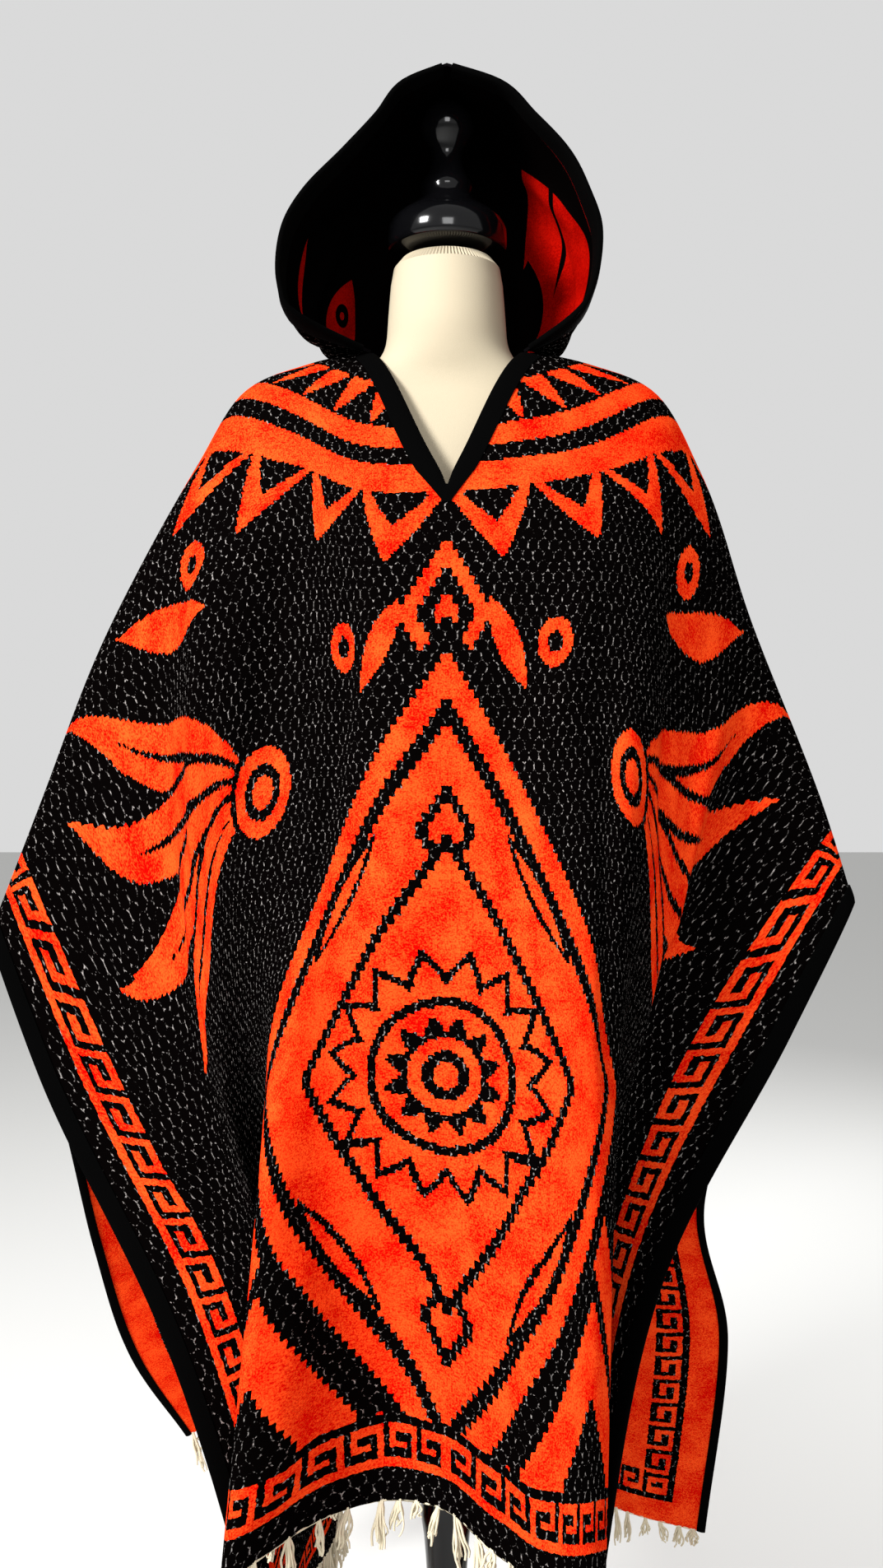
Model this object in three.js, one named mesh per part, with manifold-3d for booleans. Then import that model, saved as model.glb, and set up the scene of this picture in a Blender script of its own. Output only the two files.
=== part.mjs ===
// Hooded blanket poncho draped on a limbless dress form.
// Millimetres, +Z up, front towards -Y. The origin lies under the middle of the form's base.
import * as THREE from 'three';
import Module from 'manifold-3d';

const wasm = await Module();
wasm.setup();

// Cloth and seams
const clothThickness = 2.6;
const halfCloth = clothThickness / 2;
const seamGap = 0.3;
const halfWidth = 730;          // half of the blanket's width on the loom
const panelLength = 1060;       // shoulder line to hem, front and back alike
const bindingWidth = 17;
const bindingThickness = 1.2;
const neckBindingLift = 0.5;    // the neck's binding stands this much further off the cloth

// Neck opening, on the flat cloth
const neckHalf = 84;
const slitLength = 185;         // depth of the V down the front
const backNeckDrop = 85;
const hoodOverlapDown = 24;     // the hood's front ends are sewn this far down the V
const hoodFrontShare = 0.28;    // share of each half's neck edge that runs down the V

// Where the guide strands of the front lie across the flat cloth
const frontAcross = [-730, -620, -450, -290, -190, -60, 0, 100, 215, 450, 630, 730];
const backAcross = [-730, -620, -380, -190, 0, 190, 380, 630, 730];
const ridgeAcross = [-730, -620, -450, -290, -215, -140, 0, 140, 215, 300, 450, 630, 730];

// Sections of the drape from the back hem over the shoulder line to the front hem.
// down is the way along the cloth from the shoulder line, and is negative behind it.
const drapeSections = [
  {
    down: -1060, across: backAcross,
    x: [-298, -240, -186, -118, 0, 104, 146, 200, 295],
    y: [260, 258, 214, 178, 160, 176, 226, 258, 262],
    z: [265, 294, 345, 404, 418, 402, 290, 180, 152],
  },
  {
    down: -720, across: backAcross,
    x: [-352, -262, -205, -160, 0, 150, 190, 215, 316],
    y: [205, 205, 175, 165, 150, 165, 170, 225, 235],
    z: [385, 440, 600, 738, 756, 738, 590, 400, 385],
  },
  {
    down: -400, across: backAcross,
    x: [-376, -300, -235, -165, 0, 165, 215, 205, 276],
    y: [140, 140, 125, 130, 125, 135, 120, 140, 150],
    z: [530, 640, 895, 1055, 1075, 1055, 900, 650, 578],
  },
  {
    down: -150, across: backAcross,
    x: [-400, -345, -262, -175, 0, 175, 235, 290, 314],
    y: [45, 55, 75, 95, 108, 95, 75, 50, 22],
    z: [745, 860, 1125, 1300, 1322, 1300, 1130, 850, 778],
  },
  {
    down: 0, across: ridgeAcross,
    x: [-440, -395, -327, -238, -196, -135, 0, 138, 200, 243, 293, 362, 391],
    y: [0, 0, 0, 0, 0, 0, 0, 0, 0, 0, 0, 0, 0],
    z: [876, 992, 1166, 1330, 1397, 1424, 1440, 1424, 1397, 1322, 1177, 1000, 908],
  },
  {
    down: 150, across: frontAcross,
    x: [-388, -306, -266, -208, -138, -58, 0, 90, 172, 232, 239, 325],
    y: [-8, -28, -64, -90, -94, -104, -106, -108, -94, -70, -40, -18],
    z: [740, 810, 1040, 1225, 1296, 1314, 1316, 1316, 1283, 1035, 843, 783],
  },
  {
    down: 400, across: frontAcross,
    x: [-264, -190, -208, -190, -128, -60, 0, 80, 148, 182, 156, 203],
    y: [-66, -66, -90, -112, -112, -138, -142, -150, -155, -55, -18, -60],
    z: [530, 600, 800, 985, 1045, 1068, 1068, 1068, 1050, 800, 632, 580],
  },
  {
    down: 720, across: frontAcross,
    x: [-172, -152, -140, -150, -150, -62, 0, 82, 134, 112, 128, 136],
    y: [-112, -14, 4, -80, -195, -166, -176, -222, -208, 6, 4, -104],
    z: [290, 372, 520, 680, 735, 752, 752, 752, 738, 520, 385, 312],
  },
  {
    down: 1060, across: frontAcross,
    x: [-166, -146, -108, -122, -177, -50, 0, 72, 122, 84, 118, 132],
    y: [-60, 30, 44, -60, -250, -147, -165, -258, -250, 34, 30, -58],
    z: [168, 215, 285, 372, 405, 410, 412, 404, 396, 275, 215, 160],
  },
];

// Soft folds that open out towards a hem. push moves the cloth along Y at the hem.
const foldOpening = 1.2;        // how late a fold opens on its way down
const softFolds = [
  { side: -1, across: -300, spread: 60, from: 250, push: 26 },
  { side: -1, across: -105, spread: 45, from: 200, push: 30 },
  { side: -1, across: 20, spread: 38, from: 350, push: -22 },
  { side: -1, across: 115, spread: 45, from: 250, push: 28 },
  { side: -1, across: 290, spread: 60, from: 300, push: 22 },
  { side: 1, across: -520, spread: 55, from: 100, push: -16 },
  { side: 1, across: -115, spread: 32, from: 500, push: 14 },
  { side: 1, across: 40, spread: 24, from: 450, push: -12 },
];

// Rings of the hood from the neck seam to the crown. left and right are the rim's X,
// rimY and backY its depth, rimZ and backZ its height in front and at the back seam.
const hoodRings = [
  { rise: 0.10, left: -132, right: 113, rimY: -70, backY: 104, rimZ: 1450, backZ: 1436 },
  { rise: 0.25, left: -152, right: 133, rimY: -80, backY: 116, rimZ: 1478, backZ: 1475 },
  { rise: 0.40, left: -149, right: 139, rimY: -84, backY: 120, rimZ: 1524, backZ: 1525 },
  { rise: 0.55, left: -129, right: 128, rimY: -86, backY: 116, rimZ: 1560, backZ: 1572 },
  { rise: 0.70, left: -92, right: 108, rimY: -86, backY: 104, rimZ: 1598, backZ: 1615 },
  { rise: 0.82, left: -63, right: 79, rimY: -84, backY: 90, rimZ: 1630, backZ: 1645 },
  { rise: 0.92, left: -39, right: 48, rimY: -82, backY: 74, rimZ: 1660, backZ: 1665 },
  { rise: 1.00, left: 0, right: 0, rimY: -80, backY: 55, rimZ: 1677, backZ: 1674 },
];
const crownLift = 18;           // the crown stands this much above its two ends
const hoodSeamLift = 3.1;       // hood edge above the neck edge of the body cloth
const hoodRoundness = 0.8;
const hoodHalfShift = 0.41;     // each half stands this far off the middle plane
const crownTilt = 0.5;          // turns the wall of the crown upward

// Fringe
const fringeStripHeight = 6;
const fringeStripThickness = 2;
const fringeSpacing = 26;
const fringeGap = 0.7;
const fringeLength = 38;
const fringeUnevenness = 12;
const strandRootRadius = 0.9;
const strandTipRadius = 2.4;
const strandSway = 2.5;         // a tip moves up to this much off its own line
const swaySeeds = [31, 57];
const strandLean = 0.35;        // from straight down (0) to the way that the cloth runs (1)
const fringeSeed = 7;
const mergeTolerance = 0.02;
const fringeEnd = 14;           // first and last tuft to the side edge

// Dress form
const torsoSections = [
  { z: 800, half: 150, front: 92, back: 92 },
  { z: 900, half: 158, front: 96, back: 98 },
  { z: 1000, half: 136, front: 84, back: 82 },
  { z: 1080, half: 124, front: 82, back: 78 },
  { z: 1180, half: 146, front: 94, back: 84 },
  { z: 1260, half: 166, front: 92, back: 88 },
  { z: 1320, half: 178, front: 78, back: 84 },
  { z: 1370, half: 178, front: 58, back: 68 },
  { z: 1395, half: 150, front: 40, back: 50 },
  { z: 1411, half: 85, front: 38, back: 46 },
  { z: 1426, half: 59, front: 48, back: 50 },
  { z: 1460, half: 57, front: 55, back: 55 },
  { z: 1500, half: 54, front: 52, back: 52 },
  { z: 1534, half: 51, front: 50, back: 50 },
];
const torsoSides = 30;
const capProfile = [
  [0, 1534.3], [55, 1534.3], [58, 1540], [58, 1552], [52, 1566], [34, 1578], [24, 1588], [26, 1598],
  [16, 1616], [15, 1630], [24, 1644], [26, 1658], [21, 1672], [12, 1682.8], [0, 1687.8],
];
const poleProfile = [
  [0, 22.3], [24, 22.3], [24, 34], [16, 48], [15, 180], [18, 240], [22, 300], [25, 330], [22, 350],
  [16, 366], [16, 760], [30, 772], [30, 799.7], [0, 799.7],
];
const baseProfile = [[0, 0], [168, 0], [170, 3], [168, 9], [120, 14], [60, 18], [40, 22], [0, 22]];
const lathedSides = 24;

const materials = {
  cloth: new THREE.MeshStandardMaterial({ color: 0x2a2422, roughness: 0.95, metalness: 0 }),
  binding: new THREE.MeshStandardMaterial({ color: 0x0d0c0d, roughness: 0.9, metalness: 0 }),
  fringe: new THREE.MeshStandardMaterial({ color: 0xe6dcc6, roughness: 0.95, metalness: 0 }),
  torso: new THREE.MeshStandardMaterial({ color: 0xe8e0cb, roughness: 0.8, metalness: 0 }),
  lacquer: new THREE.MeshStandardMaterial({ color: 0x08080a, roughness: 0.2, metalness: 0 }),
};

// A smooth curve through values that stand at uneven knots.
function curveAt(knots, values, position) {
  const last = knots.length - 1;
  let cell = 0;
  while (cell < last - 1 && position > knots[cell + 1]) cell += 1;
  const slope = (i) => (values[i + 1] - values[i]) / (knots[i + 1] - knots[i]);
  const tangent = (i) => {
    if (i === 0) return slope(0);
    if (i === last) return slope(last - 1);
    const before = knots[i] - knots[i - 1];
    const after = knots[i + 1] - knots[i];
    return (after * slope(i - 1) + before * slope(i)) / (before + after);
  };
  const width = knots[cell + 1] - knots[cell];
  const t = (position - knots[cell]) / width;
  const t2 = t * t;
  const t3 = t2 * t;
  return (2 * t3 - 3 * t2 + 1) * values[cell] + (t3 - 2 * t2 + t) * width * tangent(cell)
    + (3 * t2 - 2 * t3) * values[cell + 1] + (t3 - t2) * width * tangent(cell + 1);
}

// How far the soft folds push the cloth along Y.
function foldPush(across, down) {
  let push = 0;
  for (const fold of softFolds) {
    const reach = Math.max(0, down * fold.side - fold.from) / (panelLength - fold.from);
    const offset = (across - fold.across) / fold.spread;
    push += fold.push * Math.pow(reach, foldOpening) * Math.exp(-offset * offset);
  }
  return push;
}

// The middle of the cloth's thickness at a place on the flat blanket.
function clothPoint(across, down) {
  const knots = drapeSections.map((section) => section.down);
  const along = (axis) => curveAt(
    knots,
    drapeSections.map((section) => curveAt(section.across, section[axis], across)),
    down,
  );
  return new THREE.Vector3(along('x'), along('y') + foldPush(across, down), along('z'));
}

const probeStep = 2;            // the way to each side that a slope is measured over

function clothNormal(across, down) {
  const step = probeStep;
  const a = Math.max(-halfWidth + step, Math.min(halfWidth - step, across));
  const d = Math.max(-panelLength + step, Math.min(panelLength - step, down));
  const alongCloth = clothPoint(a, d + step).sub(clothPoint(a, d - step));
  const acrossCloth = clothPoint(a + step, d).sub(clothPoint(a - step, d));
  return alongCloth.cross(acrossCloth).normalize();
}

// Where the neck opening ends in a column of the cloth, in front (1) or behind (-1).
function panelTop(across, side) {
  const inside = Math.max(0, 1 - Math.abs(across) / neckHalf);
  if (side > 0) return slitLength * inside;
  return backNeckDrop * Math.sqrt(Math.max(0, 1 - (across / neckHalf) ** 2));
}

function spread(from, to, steps) {
  return Array.from({ length: steps + 1 }, (_, i) => from + (to - from) * i / steps);
}

const sideSteps = 14;
const neckSteps = 6;
const bindingEdge = halfWidth - bindingWidth;
const clothColumns = [
  -halfWidth,
  ...spread(-bindingEdge, -neckHalf, sideSteps),
  ...spread(-neckHalf, neckHalf, neckSteps).slice(1, -1),
  ...spread(neckHalf, bindingEdge, sideSteps),
  halfWidth,
];
const panelRows = 17;
const rowEase = 1.12;

// The way down a column of a panel at each of its rows, signed by the panel's side.
function rowDown(across, row, side) {
  const top = panelTop(across, side);
  return side * (top + (panelLength - top) * Math.pow(row / panelRows, rowEase));
}

const fringeCount = Math.floor(2 * (halfWidth - fringeEnd) / fringeSpacing);
const fringePlaces = spread(fringeEnd - halfWidth, halfWidth - fringeEnd, fringeCount);

// A closed geometry from corners and faces, turned so that its faces point out.
function solidGeometry(corners, faces) {
  let volume = 0;
  for (const [a, b, c] of faces) {
    volume += corners[a].dot(corners[b].clone().cross(corners[c]));
  }
  const turned = volume < 0 ? faces.map(([a, b, c]) => [a, c, b]) : faces;
  const geometry = new THREE.BufferGeometry();
  geometry.setAttribute('position', new THREE.Float32BufferAttribute(
    corners.flatMap((p) => [p.x, p.y, p.z]), 3,
  ));
  geometry.setIndex(turned.flat());
  geometry.computeVertexNormals();
  return geometry;
}

// A closed wall between two offsets of a grid of { point, normal } cells.
function wallGeometry(grid, low, high) {
  const rows = grid.length;
  const columns = grid[0].length;
  const corners = [];
  for (const offset of [low, high]) {
    for (const row of grid) {
      for (const { point, normal } of row) corners.push(point.clone().addScaledVector(normal, offset));
    }
  }
  const layer = rows * columns;
  const at = (row, column, side) => side * layer + row * columns + column;
  const faces = [];
  // A cell is split along its shorter diagonal in the middle of the wall, so that what lies on
  // a panel is split as the panel is.
  const apart = (a, b) => {
    const [p, q] = [a % layer, b % layer].map((i) => grid[Math.floor(i / columns)][i % columns].point);
    return p.distanceTo(q);
  };
  const quad = (a, b, c, d) => {
    const turned = apart(a, c) > apart(b, d);
    faces.push(...(turned ? [[a, b, d], [b, c, d]] : [[a, b, c], [a, c, d]]));
  };
  for (let r = 0; r < rows - 1; r += 1) {
    for (let c = 0; c < columns - 1; c += 1) {
      quad(at(r, c, 1), at(r, c + 1, 1), at(r + 1, c + 1, 1), at(r + 1, c, 1));
      quad(at(r, c, 0), at(r + 1, c, 0), at(r + 1, c + 1, 0), at(r, c + 1, 0));
    }
    quad(at(r, 0, 0), at(r, 0, 1), at(r + 1, 0, 1), at(r + 1, 0, 0));
    quad(at(r, columns - 1, 0), at(r + 1, columns - 1, 0), at(r + 1, columns - 1, 1), at(r, columns - 1, 1));
  }
  for (let c = 0; c < columns - 1; c += 1) {
    quad(at(0, c, 0), at(0, c + 1, 0), at(0, c + 1, 1), at(0, c, 1));
    quad(at(rows - 1, c, 0), at(rows - 1, c, 1), at(rows - 1, c + 1, 1), at(rows - 1, c + 1, 0));
  }
  return solidGeometry(corners, faces);
}

function clothCell(across, down) {
  return { point: clothPoint(across, down), normal: clothNormal(across, down) };
}

// A place on the shoulder line, moved half a seam gap to its own side.
function shoulderCell(across, side) {
  const cell = clothCell(across, 0);
  const way = clothPoint(across, 1).sub(clothPoint(across, -1)).normalize();
  cell.point.addScaledVector(way, side * seamGap / 2);
  return cell;
}

function panelCell(across, row, side) {
  if (row === 0 && Math.abs(across) >= neckHalf) return shoulderCell(across, side);
  return clothCell(across, rowDown(across, row, side));
}

const panelRowList = spread(0, panelRows, panelRows);

function panelGeometry(side) {
  const grid = panelRowList.map((row) => clothColumns.map((across) => panelCell(across, row, side)));
  return wallGeometry(grid, -halfCloth, halfCloth);
}

const onCloth = halfCloth + seamGap;

// Bound side edge, over the shoulder line from hem to hem.
function sideBindingGeometry(side) {
  const stretch = (row, panelSide) => (
    [bindingEdge, halfWidth].map((across) => panelCell(side * across, row, panelSide))
  );
  const grid = [
    ...panelRowList.map((row) => stretch(row, -1)).reverse(),
    ...panelRowList.map((row) => stretch(row, 1)),
  ];
  return wallGeometry(grid, onCloth, onCloth + bindingThickness);
}

// Bound V of the neck, from the hood's left end round the point to its right end.
function neckBindingGeometry() {
  const stops = spread(-1, 1, 12);
  const bareShare = 0.015;      // of the slit, between the hood's end and the binding
  const startShare = hoodOverlapDown / slitLength + bareShare;
  const tipRound = 0.16;        // of each side, where the binding turns the point
  const sideTurn = 0.72;        // how far the strip's way out swings off straight down
  const grid = stops.map((stop) => {
    const share = 1 - Math.abs(stop) * (1 - startShare);
    const down = slitLength * share;
    const across = Math.sign(stop) * neckHalf * (1 - share);
    const turn = Math.min(1, Math.abs(stop) / tipRound);
    const outward = [Math.sign(stop) * turn, 1 - sideTurn * turn];
    return [0, 1].map((edge) => clothCell(
      across + edge * bindingWidth * outward[0],
      down + edge * bindingWidth * outward[1],
    ));
  });
  const low = onCloth + neckBindingLift;
  return wallGeometry(grid, low, low + bindingThickness);
}

// The neck seam, from the left front end (-1) round the back (0) to the right end (1).
function neckSeamCell(turn) {
  const way = 1 - Math.abs(turn);
  const side = turn < 0 ? -1 : 1;
  if (way < hoodFrontShare) {
    const down = hoodOverlapDown * (1 - way / hoodFrontShare);
    return clothCell(side * neckHalf * (1 - down / slitLength), down);
  }
  const angle = (way - hoodFrontShare) / (1 - hoodFrontShare) * Math.PI / 2;
  return clothCell(side * neckHalf * Math.cos(angle), -backNeckDrop * Math.sin(angle));
}

function hoodPoint(turn, rise) {
  const seam = neckSeamCell(turn);
  const base = seam.point.addScaledVector(seam.normal, hoodSeamLift);
  const angle = turn * Math.PI / 2;
  const wide = Math.pow(Math.abs(Math.sin(angle)), hoodRoundness);
  const deep = Math.pow(Math.max(0, Math.cos(angle)), hoodRoundness);
  const rises = hoodRings.map((ring) => ring.rise);
  const ringPoints = hoodRings.map((ring) => {
    const reach = turn < 0 ? ring.left : ring.right;
    const lift = crownLift * Math.pow(ring.rise, 4) * Math.sin(Math.PI * (1 - Math.abs(turn)));
    return [
      reach * wide,
      ring.rimY + (ring.backY - ring.rimY) * deep,
      ring.rimZ + (ring.backZ - ring.rimZ) * deep + lift,
    ];
  });
  const along = (axis) => curveAt(
    [0, ...rises],
    [base.getComponent(axis), ...ringPoints.map((point) => point[axis])],
    rise,
  );
  return new THREE.Vector3(along(0), along(1), along(2));
}

function hoodCell(turn, rise) {
  const step = 0.01;            // in turn and rise alike
  const near = 0.9 * step;      // stays on one side of the centre seam
  const side = turn < 0 || Object.is(turn, -0) ? -1 : 1;
  const t = side * Math.max(step, Math.min(1 - step, Math.abs(turn)));
  const r = Math.max(step, Math.min(1 - 4 * step, rise));
  const round = hoodPoint(t + near, r).sub(hoodPoint(t - near, r));
  const up = hoodPoint(t, r + step).sub(hoodPoint(t, r - step));
  const point = hoodPoint(turn, rise);
  point.x += side * hoodHalfShift;
  return { point, normal: up.cross(round).normalize() };
}

const hoodRows = 12;
const hoodTurns = 10;
const hoodRises = spread(0, 1, hoodRows);

function hoodHalfGeometry(side) {
  const turns = spread(0, 1, hoodTurns).map((turn) => side * turn);
  const grid = hoodRises.map((rise) => turns.map((turn) => hoodCell(turn, rise)));
  for (const row of grid) {
    row[0].normal.x = 0;
    row[0].normal.normalize();
  }
  for (const cell of grid[hoodRows]) {
    cell.normal.set(0, cell.normal.y, Math.abs(cell.normal.z) + crownTilt).normalize();
  }
  return wallGeometry(grid, -halfCloth, halfCloth);
}

// A fringe: a narrow strip under a hem with tufts rooted in it.
function fringeGeometry(side) {
  const end = side * panelLength;
  const strandCell = (across, drop) => {
    const cell = clothCell(across, end);
    const right = clothPoint(Math.min(halfWidth, across + probeStep), end);
    const left = clothPoint(Math.max(-halfWidth, across - probeStep), end);
    const along = right.sub(left);
    const way = cell.normal.clone().cross(along).normalize();
    if (way.z > 0) way.negate();
    cell.point.addScaledVector(way, drop);
    return { ...cell, way };
  };
  const grid = [fringeGap, fringeGap + fringeStripHeight].map((drop) => (
    clothColumns.map((across) => strandCell(across, drop))
  ));
  const half = fringeStripThickness / 2;
  const strands = fringePlaces.map((across, i) => {
    const right = clothColumns.findIndex((column) => column > across);
    const share = (across - clothColumns[right - 1]) / (clothColumns[right] - clothColumns[right - 1]);
    const root = strandCell(across, 0);
    root.point = middle(grid, right - 1).lerp(middle(grid, right), share);
    return toManifold(strandGeometry(root, i + fringeSeed * side));
  });
  const joined = wasm.Manifold.union([toManifold(wallGeometry(grid, -half, half)), ...strands]);
  return fromManifold(joined.simplify(mergeTolerance));
}

function middle(grid, column) {
  return grid[0][column].point.clone().lerp(grid[1][column].point, 0.5);
}

// Repeatable unevenness between -1 and 1.
function uneven(seed) {
  const wave = Math.sin(seed * 12.9898) * 43758.5453;
  return 2 * (wave - Math.floor(wave)) - 1;
}

function strandGeometry(root, seed) {
  const sides = 3;
  const length = fringeLength + fringeUnevenness * uneven(seed);
  const [swayX, swayY] = swaySeeds.map((own) => strandSway * uneven(seed + own));
  const sway = new THREE.Vector3(swayX, swayY, 0);
  const hang = new THREE.Vector3(0, 0, -1).lerp(root.way, strandLean).normalize();
  const levels = [
    { centre: root.point.clone(), radius: strandRootRadius },
    { centre: root.point.clone().addScaledVector(hang, length).add(sway), radius: strandTipRadius },
  ];
  const corners = [];
  for (const { centre, radius } of levels) {
    for (let i = 0; i < sides; i += 1) {
      const angle = 2 * Math.PI * i / sides + seed;
      corners.push(centre.clone().add(new THREE.Vector3(
        radius * Math.cos(angle), radius * Math.sin(angle), 0,
      )));
    }
  }
  const tip = (levels.length - 1) * sides;
  const faces = [[0, 2, 1], [tip, tip + 1, tip + 2]];
  for (let level = 0; level < levels.length - 1; level += 1) {
    for (let i = 0; i < sides; i += 1) {
      const low = level * sides;
      const next = (i + 1) % sides;
      faces.push([low + i, low + next, low + sides + next], [low + i, low + sides + next, low + sides + i]);
    }
  }
  return solidGeometry(corners, faces);
}

function toManifold(geometry) {
  return new wasm.Manifold(new wasm.Mesh({
    numProp: 3,
    vertProperties: new Float32Array(geometry.attributes.position.array),
    triVerts: new Uint32Array(geometry.index.array),
  }));
}

function fromManifold(solid) {
  const mesh = solid.getMesh();
  const geometry = new THREE.BufferGeometry();
  geometry.setAttribute('position', new THREE.Float32BufferAttribute(Array.from(mesh.vertProperties), 3));
  geometry.setIndex(Array.from(mesh.triVerts));
  geometry.computeVertexNormals();
  return geometry;
}

// The form's body and neck: closed rings of unequal depth in front and behind.
function torsoGeometry() {
  const corners = [];
  for (const section of torsoSections) {
    for (let i = 0; i < torsoSides; i += 1) {
      const angle = 2 * Math.PI * i / torsoSides;
      const depth = Math.sin(angle) < 0 ? section.front : section.back;
      corners.push(new THREE.Vector3(section.half * Math.cos(angle), depth * Math.sin(angle), section.z));
    }
  }
  const faces = [];
  const topRing = (torsoSections.length - 1) * torsoSides;
  for (let i = 1; i < torsoSides - 1; i += 1) {
    faces.push([0, i + 1, i], [topRing, topRing + i, topRing + i + 1]);
  }
  for (let level = 0; level < torsoSections.length - 1; level += 1) {
    for (let i = 0; i < torsoSides; i += 1) {
      const low = level * torsoSides;
      const next = (i + 1) % torsoSides;
      faces.push([low + i, low + next, low + torsoSides + next]);
      faces.push([low + i, low + torsoSides + next, low + torsoSides + i]);
    }
  }
  return solidGeometry(corners, faces);
}

function turnedGeometry(profile) {
  const points = profile.map(([radius, height]) => new THREE.Vector2(radius, height));
  const geometry = new THREE.LatheGeometry(points, lathedSides);
  geometry.rotateX(Math.PI / 2);
  return geometry;
}

const poncho = new THREE.Group();

function addPart(name, geometry, material) {
  const mesh = new THREE.Mesh(geometry, material);
  mesh.name = name;
  poncho.add(mesh);
}

addPart('poncho_front', panelGeometry(1), materials.cloth);
addPart('poncho_back', panelGeometry(-1), materials.cloth);
addPart('hood_left', hoodHalfGeometry(-1), materials.cloth);
addPart('hood_right', hoodHalfGeometry(1), materials.cloth);
addPart('side_binding_left', sideBindingGeometry(-1), materials.binding);
addPart('side_binding_right', sideBindingGeometry(1), materials.binding);
addPart('neck_binding', neckBindingGeometry(), materials.binding);
addPart('fringe_front', fringeGeometry(1), materials.fringe);
addPart('fringe_back', fringeGeometry(-1), materials.fringe);
addPart('form_torso', torsoGeometry(), materials.torso);
addPart('form_neck_cap', turnedGeometry(capProfile), materials.lacquer);
addPart('form_pole', turnedGeometry(poleProfile), materials.lacquer);
addPart('form_base', turnedGeometry(baseProfile), materials.lacquer);

export default poncho;
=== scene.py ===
import math

import bpy
import numpy as np
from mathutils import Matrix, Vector


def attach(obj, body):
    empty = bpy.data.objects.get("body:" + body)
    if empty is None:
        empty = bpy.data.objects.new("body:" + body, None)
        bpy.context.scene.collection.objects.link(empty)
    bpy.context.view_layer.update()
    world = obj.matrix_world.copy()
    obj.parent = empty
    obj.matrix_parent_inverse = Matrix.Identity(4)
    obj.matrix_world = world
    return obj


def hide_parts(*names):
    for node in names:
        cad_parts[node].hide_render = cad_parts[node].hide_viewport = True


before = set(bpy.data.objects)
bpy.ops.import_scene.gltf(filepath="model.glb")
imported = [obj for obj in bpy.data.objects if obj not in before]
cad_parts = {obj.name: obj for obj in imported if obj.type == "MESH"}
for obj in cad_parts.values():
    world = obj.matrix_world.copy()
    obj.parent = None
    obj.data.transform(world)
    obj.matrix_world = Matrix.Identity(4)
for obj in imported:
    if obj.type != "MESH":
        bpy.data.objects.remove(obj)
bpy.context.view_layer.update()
bpy.ops.object.select_all(action="DESELECT")

MM = 0.001

# Cloth and its cut
CLOTH_THICKNESS = 2.6 * MM
HALF_WIDTH = 730.0
PANEL_LENGTH = 1060.0
SHOULDER_SLOPE = 330.0
SLOPE_SOFTNESS = 0.2
BINDING_WIDTH = 17.0
INNER_BINDING_WIDTH = 8.0
BINDING_THICKNESS = 1.2 * MM
SEAM_GAP = 0.3 * MM
NECK_HALF = 84.0
SLIT_LENGTH = 185.0
BACK_NECK_DROP = 85.0
HOOD_OVERLAP_DOWN = 24.0

# How fine the sheets are
SIDE_COLUMNS = 72
NECK_COLUMNS = 16
PANEL_ROWS = 118

# The drape as the CAD part has it, in millimetres. Each section runs across the cloth at one
# way down from the shoulder line, which is negative behind it.
BACK_ACROSS = (-730, -620, -380, -190, 0, 190, 380, 630, 730)
FRONT_ACROSS = (-730, -620, -450, -290, -190, -60, 0, 100, 215, 450, 630, 730)
RIDGE_ACROSS = (-730, -620, -450, -290, -215, -140, 0, 140, 215, 300, 450, 630, 730)
DRAPE_SECTIONS = (
    # down, across, x, y, z
    (-1060, BACK_ACROSS,
     (-298, -240, -186, -118, 0, 104, 146, 200, 295),
     (260, 258, 214, 178, 160, 176, 226, 258, 262),
     (265, 294, 345, 404, 418, 402, 290, 180, 152)),
    (-720, BACK_ACROSS,
     (-352, -262, -205, -160, 0, 150, 190, 215, 316),
     (205, 205, 175, 165, 150, 165, 170, 225, 235),
     (385, 440, 600, 738, 756, 738, 590, 400, 385)),
    (-400, BACK_ACROSS,
     (-376, -300, -235, -165, 0, 165, 215, 205, 276),
     (140, 140, 125, 130, 125, 135, 120, 140, 150),
     (530, 640, 895, 1055, 1075, 1055, 900, 650, 578)),
    (-150, BACK_ACROSS,
     (-400, -345, -262, -175, 0, 175, 235, 290, 314),
     (45, 55, 75, 95, 108, 95, 75, 50, 22),
     (745, 860, 1125, 1300, 1322, 1300, 1130, 850, 778)),
    (0, RIDGE_ACROSS,
     (-440, -395, -327, -238, -196, -135, 0, 138, 200, 243, 293, 362, 391),
     (0, 0, 0, 0, 0, 0, 0, 0, 0, 0, 0, 0, 0),
     (876, 992, 1166, 1330, 1397, 1424, 1440, 1424, 1397, 1322, 1177, 1000, 908)),
    (150, FRONT_ACROSS,
     (-388, -306, -266, -208, -138, -58, 0, 90, 172, 232, 239, 325),
     (-8, -28, -64, -90, -94, -104, -106, -108, -94, -70, -40, -18),
     (740, 810, 1040, 1225, 1296, 1314, 1316, 1316, 1283, 1035, 843, 783)),
    (400, FRONT_ACROSS,
     (-264, -190, -208, -190, -128, -60, 0, 80, 148, 182, 156, 203),
     (-66, -66, -90, -112, -112, -138, -142, -150, -155, -55, -18, -60),
     (530, 600, 800, 985, 1045, 1068, 1068, 1068, 1050, 800, 632, 580)),
    (720, FRONT_ACROSS,
     (-172, -152, -140, -150, -150, -62, 0, 82, 134, 112, 128, 136),
     (-112, -14, 4, -80, -195, -166, -176, -222, -208, 6, 4, -104),
     (290, 372, 520, 680, 735, 752, 752, 752, 738, 520, 385, 312)),
    (1060, FRONT_ACROSS,
     (-166, -146, -108, -122, -177, -50, 0, 72, 122, 84, 118, 132),
     (-60, 30, 44, -60, -250, -147, -165, -258, -250, 34, 30, -58),
     (168, 215, 285, 372, 405, 410, 412, 404, 396, 275, 215, 160)),
)

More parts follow.
